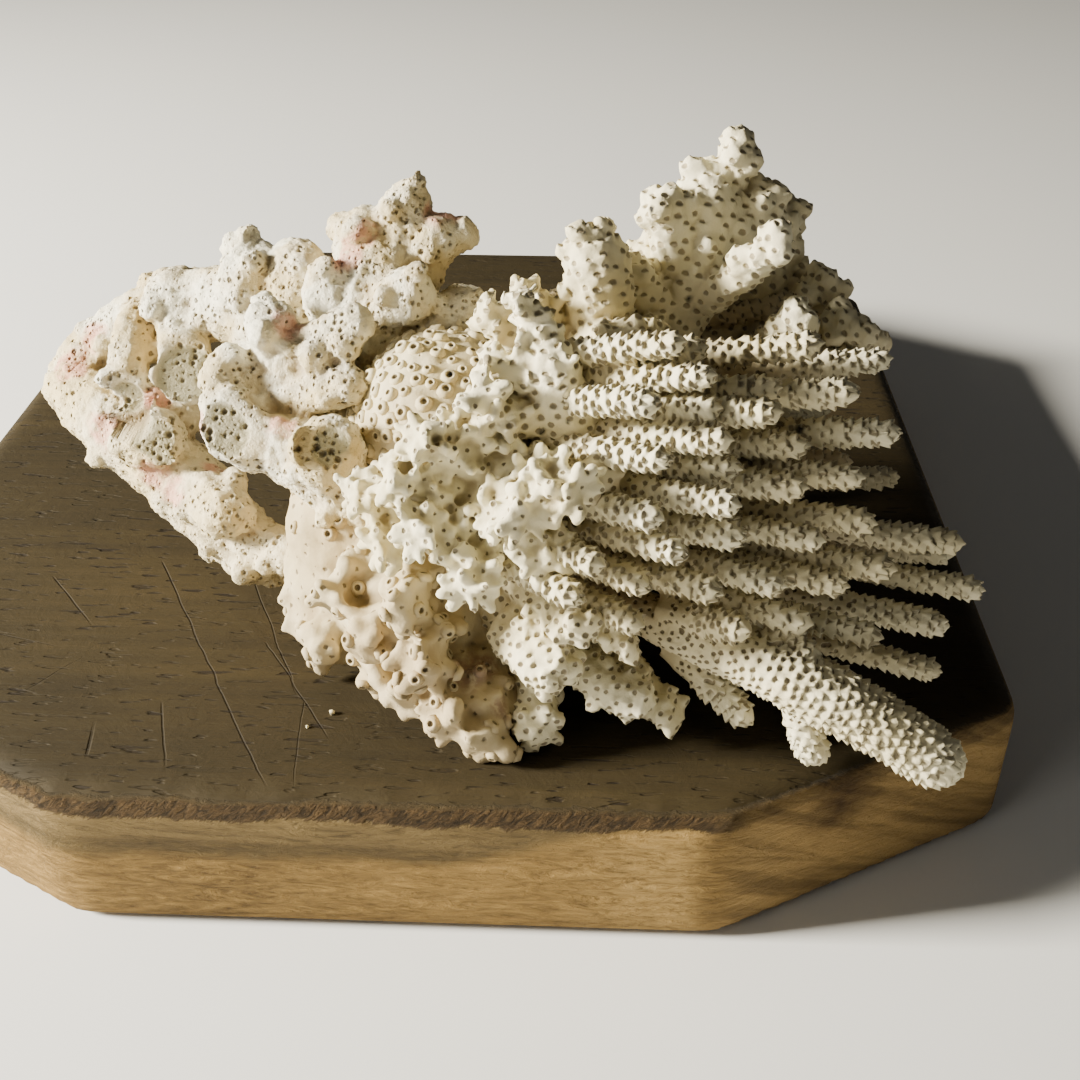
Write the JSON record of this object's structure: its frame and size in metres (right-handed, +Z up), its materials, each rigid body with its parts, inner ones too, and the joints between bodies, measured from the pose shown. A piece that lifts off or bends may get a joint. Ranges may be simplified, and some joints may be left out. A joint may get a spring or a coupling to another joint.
{
  "type": "branching coral on a wooden board",
  "caption": "Bleached branching coral colony with finger branches and old knobbly growth, lying on a thick wooden board with cut corners.",
  "frame": {"origin": "middle of the board's underside", "axes": "+X along the board's front edge to the right, +Y from the front edge towards the back, +Z up"},
  "size_m": [0.285, 0.32, 0.1547],
  "materials": {
    "coral": "matt bleached coral skeleton with fine cups and pits",
    "old_coral": "worn chalky old coral with pores and faint pink crust",
    "wood": "worn brown board, smooth top, rough sawn sides"
  },
  "bodies": {
    "root": {"colony_base": "coral", "tower_branch": "coral", "back_tower_branch": "coral", "stub_branch": "coral", "knobbed_branch": "coral", "middle_fan": "coral", "front_fan": "coral", "upper_right_branch": "coral", "right_branch": "coral", "lower_right_branch": "coral", "lower_arm": "coral", "front_lobes": "coral", "left_crown": "coral", "back_upper_fan": "coral", "back_lower_fan": "coral", "peak_branch": "old_coral", "star_branch": "old_coral", "porous_branch": "old_coral", "crest_branch": "old_coral", "long_old_branch": "old_coral", "wooden_board": "wood"}
  },
  "joints": []
}
